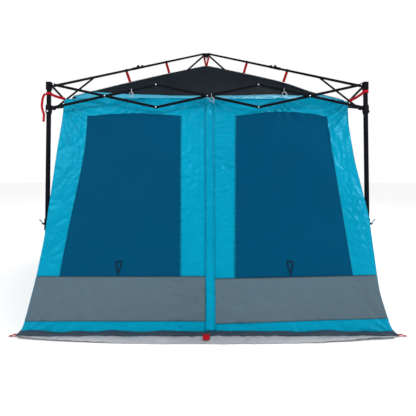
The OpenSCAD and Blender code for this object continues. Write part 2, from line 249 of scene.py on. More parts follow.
# %% Crinkle: the small creases that packed cloth keeps
def make_crinkle():
    group = new_group(
        "packed_crinkle",
        [("Vector", "NodeSocketVector", None), ("Scale", "NodeSocketFloat", 6.0)],
        [("Height", "NodeSocketFloat"), ("Drift", "NodeSocketFloat")])
    n = Nodes(group)
    source = n.add("NodeGroupInput")
    result = n.add("NodeGroupOutput")
    warped = n.noise(source.outputs["Vector"], 2.3, 2.0)
    cells = n.add("ShaderNodeTexVoronoi", feature="DISTANCE_TO_EDGE")
    shifted = n.add("ShaderNodeVectorMath", operation="MULTIPLY_ADD")
    n.wire(warped, shifted.inputs[0])
    shifted.inputs[1].default_value = (0.35, 0.35, 0.35)
    n.wire(source.outputs["Vector"], shifted.inputs[2])
    n.wire(shifted.outputs[0], cells.inputs["Vector"])
    n.wire(source.outputs["Scale"], cells.inputs["Scale"])
    creases = n.ramp(cells.outputs["Distance"], 0.0, 0.22)
    fine = n.noise(source.outputs["Vector"], 38.0, 4.0, 0.6)
    n.wire(n.math("ADD", creases, fine), result.inputs["Height"])
    n.wire(n.noise(source.outputs["Vector"], 1.1, 3.0), result.inputs["Drift"])
    return group


# %% [markdown]
# Powder coat dries with a fine orange peel. It is rubbed bright along a few scuffs and keeps
# dust near the ground, so the group gives a height, a scuff mask and a dust mask.

# %% Paint: the orange peel, specks and dust of coated metal and moulded plastic
def make_coat_grain():
    group = new_group(
        "coat_grain",
        [("Vector", "NodeSocketVector", None), ("Grain", "NodeSocketFloat", 700.0)],
        [("Height", "NodeSocketFloat"), ("Scuff", "NodeSocketFloat"), ("Dust", "NodeSocketFloat")])
    n = Nodes(group)
    source = n.add("NodeGroupInput")
    result = n.add("NodeGroupOutput")
    n.wire(n.noise(source.outputs["Vector"], source.outputs["Grain"], 3.0), result.inputs["Height"])
    long_way = n.add("ShaderNodeMapping")
    long_way.inputs["Scale"].default_value = (1.0, 1.0, 0.12)
    n.wire(source.outputs["Vector"], long_way.inputs["Vector"])
    scratches = n.noise(long_way.outputs[0], 210.0, 5.0, 0.65)
    n.wire(n.ramp(scratches, 0.62, 0.72), result.inputs["Scuff"])
    split = n.add("ShaderNodeSeparateXYZ")
    n.wire(source.outputs["Vector"], split.inputs[0])
    near_ground = n.ramp(split.outputs[2], 0.0, 0.5, 1.0, 0.0)
    patches = n.ramp(n.noise(source.outputs["Vector"], 30.0, 4.0), 0.45, 0.7)
    n.wire(n.math("MULTIPLY", near_ground, patches), result.inputs["Dust"])
    return group


# %% [markdown]
# Webbing is sewn with two rows of even stitches along its edges. The piece's own flat map runs
# in metres along and across, so the dashes keep their real length on every strap.

# %% Stitching: two rows of dashes along a webbing, and a darker gap between the threads
def make_stitch():
    group = new_group(
        "edge_stitches",
        [("Vector", "NodeSocketVector", None), ("Width", "NodeSocketFloat", 0.025)],
        [("Thread", "NodeSocketFloat")])
    n = Nodes(group)
    source = n.add("NodeGroupInput")
    result = n.add("NodeGroupOutput")
    split = n.add("ShaderNodeSeparateXYZ")
    n.wire(source.outputs["Vector"], split.inputs[0])
    middle_line = n.math("MULTIPLY", source.outputs["Width"], 0.5)
    off = n.math("ABSOLUTE", n.math("SUBTRACT", split.outputs[0], middle_line))
    inset = n.math("SUBTRACT", middle_line, 0.0035)
    row = n.ramp(n.math("ABSOLUTE", n.math("SUBTRACT", off, inset)), 0.0004, 0.0009, 1.0, 0.0)
    dash = n.ramp(n.math("SINE", n.math("MULTIPLY", split.outputs[1], 1400.0)), -0.3, 0.1)
    n.wire(n.math("MULTIPLY", row, dash), result.inputs["Thread"])
    return group


STITCH = make_stitch()
WEAVE = make_weave()
CRINKLE = make_crinkle()
COAT_GRAIN = make_coat_grain()
print("groups:", [g.name for g in (WEAVE, CRINKLE, COAT_GRAIN, STITCH)])

# %% [markdown]
# The tent is coated polyester. It is smooth and a little shiny, so a fold shows as a bright
# streak beside a darker one. The cloth material takes a colour, a gloss and the depth of its
# crinkle; the weave and the creases come from the groups and follow the cloth's own map, which
# is laid out in metres.

# %% Cloth material
def use_group(n, group, vector, **values):
    node = n.add("ShaderNodeGroup", node_tree=group)
    n.wire(vector, node.inputs["Vector"])
    for label, value in values.items():
        node.inputs[label].default_value = value
    return node.outputs


def cloth(name, color, shade, rough, crease=0.3, weave=0.06, threads=2400.0, scale=6.0,
          alpha=1.0, gloss=0.06, glint=(1.0, 1.0, 1.0), stitched=0.0):
    material = bpy.data.materials.new(name)
    material.use_nodes = True
    n = Nodes(material.node_tree)
    shader = material.node_tree.nodes["Principled BSDF"]
    along = n.add("ShaderNodeUVMap", uv_map="cloth").outputs[0]
    threads_out = use_group(n, WEAVE, along, Threads=threads)
    packed = use_group(n, CRINKLE, along, Scale=scale)
    drift = n.ramp(packed["Drift"], 0.3, 0.7)
    tone = n.mix(drift, (*color, 1), (*shade, 1))
    thread_tone = n.ramp(threads_out["Slub"], 0.25, 0.75, 0.0, 0.16)
    toned = n.mix(thread_tone, tone, (*shade, 1))
    if stitched:
        sewn = use_group(n, STITCH, along, Width=stitched)
        toned = n.mix(n.math("MULTIPLY", sewn["Thread"], 0.6), toned, tuple(c * 0.35 for c in color) + (1,))
    n.wire(toned, shader.inputs["Base Color"])
    n.wire(n.ramp(threads_out["Slub"], 0.2, 0.8, rough - 0.03, rough + 0.04), shader.inputs["Roughness"])
    creases = n.add("ShaderNodeBump")
    creases.inputs["Strength"].default_value = crease
    creases.inputs["Distance"].default_value = 0.006
    n.wire(packed["Height"], creases.inputs["Height"])
    yarns = n.add("ShaderNodeBump")
    yarns.inputs["Strength"].default_value = weave
    yarns.inputs["Distance"].default_value = 0.0004
    n.wire(threads_out["Height"], yarns.inputs["Height"])
    n.wire(creases.outputs[0], yarns.inputs["Normal"])
    n.wire(yarns.outputs[0], shader.inputs["Normal"])
    shader.inputs["Specular IOR Level"].default_value = gloss
    shader.inputs["Specular Tint"].default_value = (*glint, 1)
    shader.inputs["Alpha"].default_value = alpha
    return material


WALL_BLUE = cloth("wall_blue_polyester", (0.0008, 0.232, 0.372), (0.0007, 0.185, 0.305), 0.3,
                  crease=0.8, gloss=0.34, glint=(0.02, 0.7, 1.0))
# The roof border and the eave hems are the same blue cloth as the walls, given a lighter colour: a painted
# highlight.
BORDER_BLUE_PAINTED_HIGHLIGHT = cloth("border_blue_painted_highlight", (0.001, 0.27, 0.42), (0.001, 0.215, 0.345), 0.36,
                    crease=0.7, gloss=0.16, glint=(0.03, 0.72, 1.0))
WINDOW_BLUE = cloth("window_cover_navy", (0.0005, 0.053, 0.117), (0.0004, 0.046, 0.103), 0.5, crease=0.14,
                    gloss=0.01)
LOWER_GREY = cloth("lower_panel_grey", (0.072, 0.114, 0.141), (0.060, 0.098, 0.122), 0.42, crease=0.4,
                   gloss=0.12)
SKIRT_GREY = cloth("skirt_slate", (0.030, 0.048, 0.070), (0.018, 0.030, 0.045), 0.4, crease=0.6, gloss=0.12)
FLAP_GREY = cloth("ground_flap_grey", (0.34, 0.35, 0.38), (0.24, 0.255, 0.28), 0.38, crease=0.6, scale=9.0,
                  gloss=0.3)
ROOF_BLACK = cloth("roof_mesh_black", (0.0045, 0.0085, 0.013), (0.003, 0.006, 0.0095), 0.6,
                   crease=0.12, weave=0.2, threads=1500.0, alpha=0.96, gloss=0.01)
TAPE_BLACK = cloth("roof_tape_black", (0.003, 0.006, 0.0095), (0.002, 0.004, 0.007), 0.6,
                   crease=0.1, gloss=0.02)
WEB_RED = cloth("red_webbing", (0.40, 0.004, 0.012), (0.28, 0.003, 0.009), 0.55, crease=0.0,
                weave=0.6, threads=2600.0, stitched=0.025)
WEB_BLACK = cloth("black_webbing", (0.007, 0.008, 0.011), (0.012, 0.013, 0.017), 0.6, crease=0.0,
                  weave=0.6, threads=2600.0)
CORD_GREY = cloth("light_tie_cord", (0.36, 0.39, 0.42), (0.24, 0.27, 0.30), 0.6, crease=0.0,
                  weave=0.7, threads=3200.0, gloss=0.2)

# %% [markdown]
# The bars are steel with a black powder coat: fine orange peel, a few long scuffs, and dust near
# the feet. The brackets are moulded nylon with a dull grain. The rivets are plated.

# %% Hard materials
def hard(name, color, worn, rough, metallic=0.0, grain=700.0, bump=0.12, dust=(0.25, 0.23, 0.2),
         gloss=0.5):
    material = bpy.data.materials.new(name)
    material.use_nodes = True
    n = Nodes(material.node_tree)
    shader = material.node_tree.nodes["Principled BSDF"]
    place = n.add("ShaderNodeTexCoord").outputs["Object"]
    coat = use_group(n, COAT_GRAIN, place, Grain=grain)
    rubbed = n.math("MULTIPLY", coat["Scuff"], 0.5)
    base = n.mix(rubbed, (*color, 1), (*worn, 1))
    n.wire(n.mix(n.math("MULTIPLY", coat["Dust"], 0.35), base, (*dust, 1)), shader.inputs["Base Color"])
    n.wire(n.ramp(coat["Height"], 0.3, 0.7, rough - 0.05, rough + 0.07), shader.inputs["Roughness"])
    peel = n.add("ShaderNodeBump")
    peel.inputs["Strength"].default_value = bump
    peel.inputs["Distance"].default_value = 0.0003
    n.wire(coat["Height"], peel.inputs["Height"])
    n.wire(peel.outputs[0], shader.inputs["Normal"])
    shader.inputs["Metallic"].default_value = metallic
    shader.inputs["Specular IOR Level"].default_value = gloss
    return material


STEEL = hard("black_powder_coat", (0.0028, 0.0035, 0.006), (0.017, 0.019, 0.024), 0.42, gloss=0.045)
INNER_STEEL = hard("inner_tube_coat", (0.007, 0.008, 0.012), (0.03, 0.032, 0.038), 0.36, gloss=0.09)
NYLON = hard("black_nylon", (0.005, 0.0052, 0.007), (0.016, 0.017, 0.02), 0.5, grain=1200.0, bump=0.3,
             gloss=0.05)
LOCK_GREY = hard("grey_lock_plastic", (0.42, 0.45, 0.48), (0.3, 0.32, 0.34), 0.42, grain=1200.0)
ZINC = hard("plated_rivet", (0.74, 0.75, 0.77), (0.5, 0.5, 0.52), 0.26, metallic=1.0, grain=500.0)
PALE_FLOOR = hard("pale_floor", (0.93, 0.93, 0.93), (0.92, 0.92, 0.92), 0.8, grain=3.0, bump=0.0,
                  dust=(0.93, 0.93, 0.93), gloss=0.0)


def paint_node(node, material):
    data = frame["nodes"][node].data
    data.materials.clear()
    data.materials.append(material)


for corner in CORNERS:
    for part, finish in (("upper_leg", STEEL), ("lower_leg", INNER_STEEL), ("leg_lock", LOCK_GREY),
                         ("slider", NYLON), ("slider_button", LOCK_GREY), ("outer_beam", STEEL),
                         ("inner_beam", STEEL), ("brace", STEEL)):
        paint_node(f"{corner}_{part}", finish)
for side in SIDES:
    for number in range(1, 7):
        paint_node(f"{side}_truss_bar_{number}", STEEL)
paint_node("hub", NYLON)

floor_mesh = bpy.data.meshes.new("floor")
floor_shape = bmesh.new()
bmesh.ops.create_circle(floor_shape, cap_ends=True, radius=40, segments=64)
floor_shape.to_mesh(floor_mesh)
floor_shape.free()
floor = bpy.data.objects.new("floor", floor_mesh)
floor_mesh.materials.append(PALE_FLOOR)
bpy.context.collection.objects.link(floor)
floor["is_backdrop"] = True
print("hard finishes on", len(frame["nodes"]), "nodes")

# %% [markdown]
# A piece of cloth is a grid of squares. The grid is made flat, and a rule then puts each of its
# points in place, so the piece can follow a wall that leans, billows and creases. The same rule
# places everything that is sewn to the wall, a few millimetres further out.

# %% Piece helpers
def add_piece(name, shape, material, body, smooth=True):
    mesh = bpy.data.meshes.new(name)
    shape.to_mesh(mesh)
    shape.free()
    mesh.materials.append(material)
    for face in mesh.polygons:
        face.use_smooth = smooth
    piece = bpy.data.objects.new(name, mesh)
    bpy.context.collection.objects.link(piece)
    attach(piece, body)
    return piece


def thicken(piece, thickness, offset=-1.0):
    skin = piece.modifiers.new("thickness", "SOLIDIFY")
    skin.thickness = thickness
    skin.offset = offset
    skin.use_rim = True


def patch(name, place, across, up, material, body, thickness=0.0012, outward=None):
    """A cloth grid: place(u, v) gives the point for u and v from 0 to 1."""
    shape = bmesh.new()
    uv = shape.loops.layers.uv.new("cloth")
    bmesh.ops.create_grid(shape, x_segments=across, y_segments=up, size=0.5)
    flat = {}
    for vertex in shape.verts:
        u, v = vertex.co.x + 0.5, vertex.co.y + 0.5
        flat[vertex] = (u, v)
        vertex.co = place(u, v)
    width = (Vector(place(1, 0.5)) - Vector(place(0, 0.5))).length
    height = (Vector(place(0.5, 1)) - Vector(place(0.5, 0))).length
    for face in shape.faces:
        for loop in face.loops:
            u, v = flat[loop.vert]
            loop[uv].uv = (u * width, v * height)
    if outward is not None:
        shape.normal_update()
        facing = sum((face.normal for face in shape.faces), Vector())
        if facing.dot(Vector(outward)) < 0:
            bmesh.ops.reverse_faces(shape, faces=shape.faces[:])
    piece = add_piece(name, shape, material, body)
    piece["cut_width"] = max((Vector(place(1, v)) - Vector(place(0, v))).length for v in (0, 0.5, 1))
    piece["cut_length"] = max((Vector(place(u, 1)) - Vector(place(u, 0))).length for u in (0, 0.5, 1))
    if thickness:
        thicken(piece, thickness)
    return piece


def area_of(piece):
    return sum(face.area for face in piece.data.polygons)


# %% [markdown]
# Straps and hems follow a line. A ribbon is a flat band that faces one way along the line, and a
# hem is a thin round cord of cloth, which is what a folded and sewn edge looks like.

# %% Ribbons and round hems
def ribbon(name, points, width, normal, material, body, thickness=0.0014):
    """Flat webbing along a line of points; normal(i) is the way its face looks at point i."""
    shape = bmesh.new()
    uv = shape.loops.layers.uv.new("cloth")
    rows = []
    along = [0.0]
    for number, point in enumerate(points):
        before = points[max(0, number - 1)]
        after = points[min(len(points) - 1, number + 1)]
        across = (after - before).cross(normal(number)).normalized() * (width / 2)
        rows.append([shape.verts.new(point - across), shape.verts.new(point + across)])
        if number:
            along.append(along[-1] + (point - before).length)
    for number in range(len(rows) - 1):
        (a, b), (c, d) = rows[number], rows[number + 1]
        face = shape.faces.new((a, b, d, c))
        marks = ((0, along[number]), (width, along[number]),
                 (width, along[number + 1]), (0, along[number + 1]))
        for loop, mark in zip(face.loops, marks):
            loop[uv].uv = mark
    piece = add_piece(name, shape, material, body)
    thicken(piece, thickness, 0.0)
    return piece


def round_hem(name, points, radius, material, body="tent", sides=8, closed=False):
    """A thin round roll of cloth, or a cord, swept along a line of points."""
    shape = bmesh.new()
    uv = shape.loops.layers.uv.new("cloth")
    rings = []
    run = [0.0]
    guide = Vector((0.31, 0.22, 0.92))
    count = len(points)
    for number, point in enumerate(points):
        before = points[(number - 1) % count] if closed or number else point
        after = points[(number + 1) % count] if closed or number < count - 1 else point
        way = (after - before).normalized()
        side_way = way.cross(guide)
        if side_way.length < 0.05:
            side_way = way.cross(Vector((1, 0, 0)))
        side_way.normalize()
        other = way.cross(side_way)
        ring = []
        for step in range(sides):
            angle = 2 * math.pi * step / sides
            spread = side_way * math.cos(angle) + other * math.sin(angle)
            ring.append(shape.verts.new(point + spread * radius))
        rings.append(ring)
        if number:
            run.append(run[-1] + (point - points[number - 1]).length)
    spans = count if closed else count - 1
    for number in range(spans):
        low_ring, high_ring = rings[number], rings[(number + 1) % count]
        start = run[number]
        end = run[number + 1] if number + 1 < count else start + (points[0] - points[-1]).length
        for step in range(sides):
            turn_to = (step + 1) % sides
            face = shape.faces.new((low_ring[step], low_ring[turn_to], high_ring[turn_to], high_ring[step]))
            corner_marks = ((step, start), (step + 1, start), (step + 1, end), (step, end))
            for loop, (round_step, length) in zip(face.loops, corner_marks):
                loop[uv].uv = (round_step * 2 * math.pi * radius / sides, length)
    if not closed:
        shape.faces.new(list(reversed(rings[0])))
        shape.faces.new(rings[-1])
    bmesh.ops.recalc_face_normals(shape, faces=shape.faces[:])
    return add_piece(name, shape, material, body)


# %% [markdown]
# The wall cloth is pulled from its top corners and from the ties along the eaves, so tight folds
# fan out from those points and fade with distance. Between them the cloth hangs in slow waves,
# and the edges draw in where the pull is strongest. One height rule gives all of this.

# %% How the wall cloth folds
def fade(distance, reach):
    return math.exp(-((distance / reach) ** 2))


def fan(x, z, at, count, reach, depth, turn, lean=0.0):
    """Folds that spread from a pulled point, like the pleats of a fan."""
    away = Vector((x - at[0], z - at[1]))
    distance = away.length
    if distance > 2.6 * reach:
        return 0.0
    angle = math.atan2(away.x, -away.y) + lean * distance
    wobble = 0.9 * noise.noise(Vector((x * 5.0, z * 5.0, turn)))
    turn_by = count * angle + wobble + turn
    sharp = 0.5 * math.sin(turn_by) + 0.9 - 1.8 * abs(math.sin(0.5 * turn_by))
    rise = distance / (distance + 0.05)
    return depth * rise * fade(distance, reach) * sharp


def ridge(x, z, seed):
    """Noise with sharp crests, like the creases of a cloth that was packed."""
    return 1 - 2 * abs(noise.noise(Vector((x, z, seed))))


def ripple(x, z, seed):
    """Slow waves and small crumples of the whole cloth."""
    spot = Vector((x * 1.7, z * 1.1, seed))
    broad = noise.noise(spot) * 0.008
    middle_waves = noise.noise(Vector((x * 5.5, z * 2.6, seed + 7.0))) * 0.005
    small = noise.noise(Vector((x * 16.0, z * 11.0, seed + 19.0))) * 0.0018
    packed = ridge(x * 7.0 + 2.0 * z, z * 4.0, seed + 31.0) * 0.0012
    return broad + middle_waves + small + packed


def crumple(x, z, at, size, depth, grain, seed):
    """A patch of tight crinkles round one spot."""
    near = math.exp(-(((x - at[0]) / size[0]) ** 2) - (((z - at[1]) / size[1]) ** 2))
    if near < 0.02:
        return 0.0
    return depth * near * ridge(x * grain[0], z * grain[1], seed)


def pucker(x, z, seam, reach, depth, seed):
    """Short creases across an upright seam, where the thread draws the cloth together."""
    near = fade(x - seam, reach)
    if near < 0.02:
        return 0.0
    return depth * near * noise.noise(Vector((x * 6.0, z * 34.0, seed)))


# %% [markdown]
# The outline of the tent is a few soft curves. The side edges of the front wall draw in below
# the top corners and flare out at the ground, where the pegs pull them. The front and back walls
# lean outwards all the way down.

# %% Outline of the tent
STRAIGHT_HALF = 1.354
LEFT_EDGE = ((0.0, 1.452), (0.07, 1.416), (0.39, 1.374), (0.7, 1.352), (1.45, 1.347), (1.73, 1.338),
             (1.95, 1.345))
RIGHT_EDGE = ((0.0, 1.440), (0.07, 1.402), (0.3, 1.358), (0.87, 1.363), (1.34, 1.310), (1.68, 1.297),
              (1.95, 1.325))


def wall_reach(z):
    """How far the front or back wall stands from the middle at a height."""
    return foot_reach + (eave_half - foot_reach) * z / eave_z


def edge_at(marks, z):
    for (z0, w0), (z1, w1) in zip(marks, marks[1:]):
        if z <= z1:
            return w0 + (w1 - w0) * max(0.0, (z - z0) / (z1 - z0))
    return marks[-1][1]


def half_width(z, hand):
    """The edge of the front wall, with its corners smoothed over a hand's width."""
    marks = LEFT_EDGE if hand < 0 else RIGHT_EDGE
    soft = min(0.06, 0.5 * z)
    return (edge_at(marks, z - soft) + 2 * edge_at(marks, z) + edge_at(marks, z + soft)) / 4


def side_out(z):
    """How far a side wall stands from the middle, away from its corners."""
    return eave_half + 0.02 * (1 - z / eave_z)


print("front foot half width", round(half_width(0, 1), 3), "at 1.6 m", round(half_width(1.6, 1), 3))

# %% [markdown]
# One rule places every point of the front wall: across by the outline, up by the height, and in
# depth by the lean of the wall and the sum of its folds. Panels and seams use the same rule with
# a small step outwards, so they lie on the cloth wherever it bends.

# %% The rule for the front and back walls
TIES = (-0.70, 0.03, 0.69)
FRONT_SLOPE = math.atan2(foot_reach - eave_half, eave_z)
FRONT_NORMAL = Vector((0, -math.cos(FRONT_SLOPE), math.sin(FRONT_SLOPE)))


def calm(x, z):
    """The window covers keep the cloth flat: 1 outside them, less inside."""
    inside = min(abs(x) - 0.27, 1.12 - abs(x), z - 0.43, 1.74 - z)
    return 1 - 0.82 * min(1.0, max(0.0, inside / 0.07))


def front_folds(x, z, seed):
    total = ripple(x, z, seed)
    for hand in (-1, 1):
        corner = (hand * STRAIGHT_HALF, eave_z)
        pull = 0.026 if hand > 0 else 0.012
        total += fan(x, z, corner, 19, 0.46, pull, seed + hand, 0.5 * hand)
        total += fan(x, z, (hand * 1.42, 0.0), 15, 0.3, 0.005, seed + 3 * hand)
        total += pucker(x, z, hand * 0.235, 0.05, 0.007, seed + hand)
        edge_depth, middle_depth, top_depth = (0.010, 0.009, 0.012) if hand > 0 else (0.004, 0.005, 0.006)
        total += crumple(x, z, (hand * 1.28, 0.98), (0.1, 0.34), edge_depth, (24.0, 13.0), seed)
        total += crumple(x, z, (hand * 0.15, 1.35), (0.12, 0.5), middle_depth, (8.0, 21.0), seed + 5)
        total += crumple(x, z, (hand * 1.2, 1.62), (0.13, 0.25), top_depth, (19.0, 5.0), seed + 17)
        total += crumple(x, z, (hand * 0.07, 0.25), (0.07, 0.2), 0.006, (14.0, 11.0), seed + 9)
        total += crumple(x, z, (hand * 1.33, 0.24), (0.1, 0.2), 0.006, (13.0, 12.0), seed + 13)
    for number, tie in enumerate(TIES):
        depth = 0.018 if number == 2 else 0.012
        total += fan(x, z, (tie, eave_z + 0.01), 13, 0.27, depth, seed + 2.0 * number)
    total += 0.0014 * math.sin(x * 2 * math.pi / 0.052) * fade(x, 0.22)
    total += 0.004 * ridge(x * 5.0, 0.4 * z, seed + 3.0) * fade(z, 0.16)
    hang = 0.014 * math.sin(math.pi * min(1.0, abs(x) / STRAIGHT_HALF)) * math.sin(math.pi * z / eave_z)
    return total * calm(x, z) - hang


def front_point(x_share, z, out=0.0, seed=0.0):
    """A point of the front wall: x_share from -1 to 1 across, z up, out from the cloth."""
    hand = 1 if x_share >= 0 else -1
    x = x_share * half_width(z, hand)
    edge = 1 - min(1.0, max(0.0, abs(x_share) - 0.93) / 0.07)
    lift = front_folds(x, z, seed) * (0.25 + 0.75 * edge) + out
    return Vector((x, -wall_reach(z), z)) + FRONT_NORMAL * lift


def front_spot(x, z, out=0.0, seed=0.0):
    """The same, from a distance across in metres."""
    hand = 1 if x >= 0 else -1
    return front_point(x / half_width(z, hand), z, out, seed)


def to_back(point):
    """Turns a point of the front half round to the back."""
    return Vector((-point.x, -point.y, point.z))


# %% [markdown]
# The wall is a fine grid of points laid on the rule. The back wall is the same cut of cloth, turned
# round, with folds of its own.

# %% Front and back walls
WALL_FOOT = 0.012
EAR_TOP = 0.012
GRID = 1.0


def wall_height(v, x_share):
    """Height of the wall's grid line v, with the ears at the top corners raised."""
    ear = min(1.0, max(0.0, abs(x_share) - 0.84) / 0.16)
    droop = 0.014 * ear if x_share < 0 else 0.034 * ear
    top = eave_z + 0.004 + EAR_TOP * math.sin(math.pi * ear) - droop
    return WALL_FOOT + (top - WALL_FOOT) * v


def make_front(name, seed, turn):
    def place(u, v):
        x_share = 2 * u - 1
        z = wall_height(v, x_share)
        return turn(front_point(x_share, z, 0.0, seed))
    facing = turn(Vector((0, -1, 0)))
    return patch(name, place, int(300 * GRID), int(250 * GRID), WALL_BLUE, "tent",
                 thickness=0, outward=facing)


front_wall = make_front("front_wall", 0.0, lambda p: p)
back_wall = make_front("back_wall", 5.0, to_back)
print("front wall", round(area_of(front_wall), 2), "square metres")

# %% [markdown]
# The side walls stand almost upright between the front and back walls, just inside the legs.
# Their edges meet the front wall's edges, so each end follows the same outline. Near the eaves the
# edge is cut back, because the brace of each leg passes through the corner there.

# %% Side walls
NOTCH_Z = 1.845
NOTCH_IN = 0.115


def side_folds(y, z, seed):
    total = ripple(y, z, seed)
    for hand in (-1, 1):
        total += fan(y, z, (hand * eave_half, eave_z), 15, 0.36, 0.007, seed + hand)
        total += fan(y, z, (hand * foot_reach, 0.0), 13, 0.3, 0.004, seed + hand)
    for number, tie in enumerate(TIES):
        total += fan(y, z, (tie, eave_z), 11, 0.2, 0.005, seed + 2.0 * number)
    return total - 0.01 * math.sin(math.pi * z / eave_z)


def side_point(y_share, z, hand, out=0.0, seed=2.0):
    reach = wall_reach(z) - NOTCH_IN * min(1.0, max(0.0, (z - NOTCH_Z) / 0.07))
    y = y_share * reach
    near_edge = math.exp(-(((1 - abs(y_share)) * reach / 0.35) ** 2))
    meets = hand if y_share < 0 else -hand
    x = side_out(z) + (half_width(z, meets) - side_out(z)) * near_edge
    edge = min(1.0, (1 - abs(y_share)) / 0.06)
    lift = side_folds(y, z, seed) * edge + out
    return Vector((hand * (x + lift), y, z))


def make_side(name, hand, seed):
    def place(u, v):
        z = WALL_FOOT + (eave_z - 0.004 - WALL_FOOT) * v
        return side_point(2 * u - 1, z, hand, 0.0, seed)
    return patch(name, place, int(240 * GRID), int(140 * GRID), WALL_BLUE, "tent",
                 outward=(hand, 0, 0))


left_wall = make_side("left_wall", -1, 2.0)
right_wall = make_side("right_wall", 1, 3.0)
print("side wall", round(area_of(left_wall), 2), "square metres")

# %% [markdown]
# The roof is a low pyramid. A border of the wall cloth runs along the eaves, coloured lighter than the
# walls as a painted highlight, and dark mesh fills the rest up to the peak, where it hangs from the hub.
# The cloth sags a little between the hips, and each corner is cut off straight to let the brace through.

# %% The roof rule
CHAMFER_SUM = 2.57
BORDER_MID = 0.088
BORDER_HIP = 0.066
HIP_RISE = 0.012
SAG = 0.035


def roof_foot(u):
    return max(0.0, 1 - CHAMFER_SUM / (eave_half * (1 + abs(u))))


def roof_border(u):
    return BORDER_MID + BORDER_HIP * abs(u) ** 1.8


def roof_point(u, v, seed=0.0, out=0.0):
    """A point of the front face: u from -1 to 1 across, v from the eaves to the peak."""
    x = u * eave_half * (1 - v)
    y = -eave_half * (1 - v)
    between = 1 - abs(u) ** 2
    rise = HIP_RISE * math.sin(math.pi * v) * (1 - between)
    sag = SAG * between * math.sin(math.pi * min(1.0, v * 1.05)) * (1 - v)
    z = eave_z + (peak_z - 0.006 - eave_z) * v + rise - sag
    lift = 0.0
    if abs(u) < 0.999:
        lift += 0.55 * ripple(x * 1.3, y + z, seed + 11)
        for number, tie in enumerate(TIES):
            lift += fan(x, eave_z - (y + eave_half), (tie, eave_z), 9, 0.14, 0.004, seed + number)
        lift *= min(1.0, (1 - abs(u)) * 8 + 0.15) * min(1.0, 0.25 + v * 14)
    normal = Vector((0, -(peak_z - eave_z), eave_half)).normalized()
    return Vector((x, y, z)) + normal * (lift + out)


def corner_droop(point):
    """The front right corner of the tent hangs lower than the others."""
    away = Vector((point.x - eave_half, point.y + eave_half)).length
    drop = 0.032 * math.exp(-(((away - 0.36) / 0.25) ** 2)) + 0.026 * fade(away, 0.2)
    return point - Vector((0, 0, drop))


def turned(point, quarter):
    for _ in range(quarter):
        point = Vector((-point.y, point.x, point.z))
    return point


def roof_patch(name, quarter, low, high, up, material):
    def place(u, v):
        across = 2 * u - 1
        bottom = low(across)
        spot = roof_point(across, bottom + (high(across) - bottom) * v, quarter * 1.7)
        return corner_droop(turned(spot, quarter))
    thickness = 0 if material is ROOF_BLACK else 0.0012
    return patch(name, place, int(160 * GRID), up, material, "tent", thickness,
                 outward=(0, 0, 1))


roof_pieces = []
for quarter, side in enumerate(SIDES):
    # The border strip takes the lighter border colour, a painted highlight along the eaves.
    roof_pieces.append(roof_patch(f"roof_border_{side}", quarter, roof_foot, roof_border, 14, BORDER_BLUE_PAINTED_HIGHLIGHT))
    roof_pieces.append(roof_patch(f"roof_mesh_{side}", quarter, roof_border, lambda u: 0.985, 70, ROOF_BLACK))
roof_area = sum(area_of(piece) for piece in roof_pieces)
print("roof", round(roof_area, 2), "square metres in", len(roof_pieces), "pieces")

# %% [markdown]
# Black tape covers the roof's four hip seams and the seam between the mesh and its border. Tape
# like this keeps the rain out of the needle holes and stops the mesh from fraying.

# %% Tape on the roof seams
roof_tapes = []


def tape(name, line, width, facing, material=TAPE_BLACK):
    return ribbon(name, line, width, facing, material, "tent", 0.0012)


for quarter, side in enumerate(SIDES):
    hip = []
    for i in range(61):
        v = roof_foot(1) + (0.985 - roof_foot(1)) * i / 60
        hip.append(corner_droop(turned(roof_point(1, v, 0.0, 0.003), quarter)))
    roof_pieces_tape = tape(f"hip_tape_{side}", hip, 0.022, lambda i: Vector((0, 0, 1)))
    seam_line = []
    for i in range(101):
        u = -1 + i / 50
        spot = roof_point(u, roof_border(u), quarter * 1.7, 0.003)
        seam_line.append(corner_droop(turned(spot, quarter)))
    facing = turned(Vector((0, -0.4, 0.9)), quarter)
    seam_tape = tape(f"mesh_seam_tape_{side}", seam_line, 0.012, lambda i, f=facing: f, TAPE_BLACK)
    roof_tapes.extend((roof_pieces_tape, seam_tape))
print("roof tapes:", len(roof_tapes))

# %% [markdown]
# The two big window covers are sewn into the door wall. Each is a plain dark panel: nearly
# upright along its inner edge, sloping along its outer edge, and a little arched at the top. The
# grey panels under them guard the wall against splashes, and a narrow skirt closes the bottom.

# %% Panels on the walls
WINDOW_TOP = 1.768
WINDOW_FOOT = 0.402
GREY_TOP = 0.412
GREY_FOOT = 0.10
SKIRT_TOP = 0.034
DOOR_EDGE = -0.018
FLAP_EDGE = 0.060


def between(a, b, t):
    return a + (b - a) * t


def wall_panel(name, left, right, foot, top, across, up, material, out=0.004, seed=0.0,
               turn=lambda p: p):
    """A panel on the front wall: the four edges are rules of the way along them."""
    def place(u, v):
        z = between(foot(u), top(u), v)
        x = between(left(v), right(v), u)
        return turn(front_spot(x, z, out, seed))
    return patch(name, place, across, up, material, "tent", thickness=0.0009,
                 outward=turn(Vector((0, -1, 0))))


def arch(rise):
    return lambda u: WINDOW_TOP + rise * math.sin(math.pi * u)


def window_outer(v):
    """The left window's outer edge, drawn in a little above the middle."""
    return between(-1.186, -1.108, v) + 0.026 * math.sin(math.pi * v ** 2.2)


def window_pair(prefix, seed, turn):
    made = []
    made.append(wall_panel(
        f"{prefix}_window_left", window_outer, lambda v: between(-0.222, -0.246, v),
        lambda u: WINDOW_FOOT, arch(0.026), 90, 110, WINDOW_BLUE, seed=seed, turn=turn))
    made.append(wall_panel(
        f"{prefix}_window_right", lambda v: between(0.220, 0.268, v), lambda v: between(1.165, 1.105, v),
        lambda u: between(WINDOW_FOOT, 0.415, u), arch(0.040), 90, 110, WINDOW_BLUE, seed=seed, turn=turn))
    return made


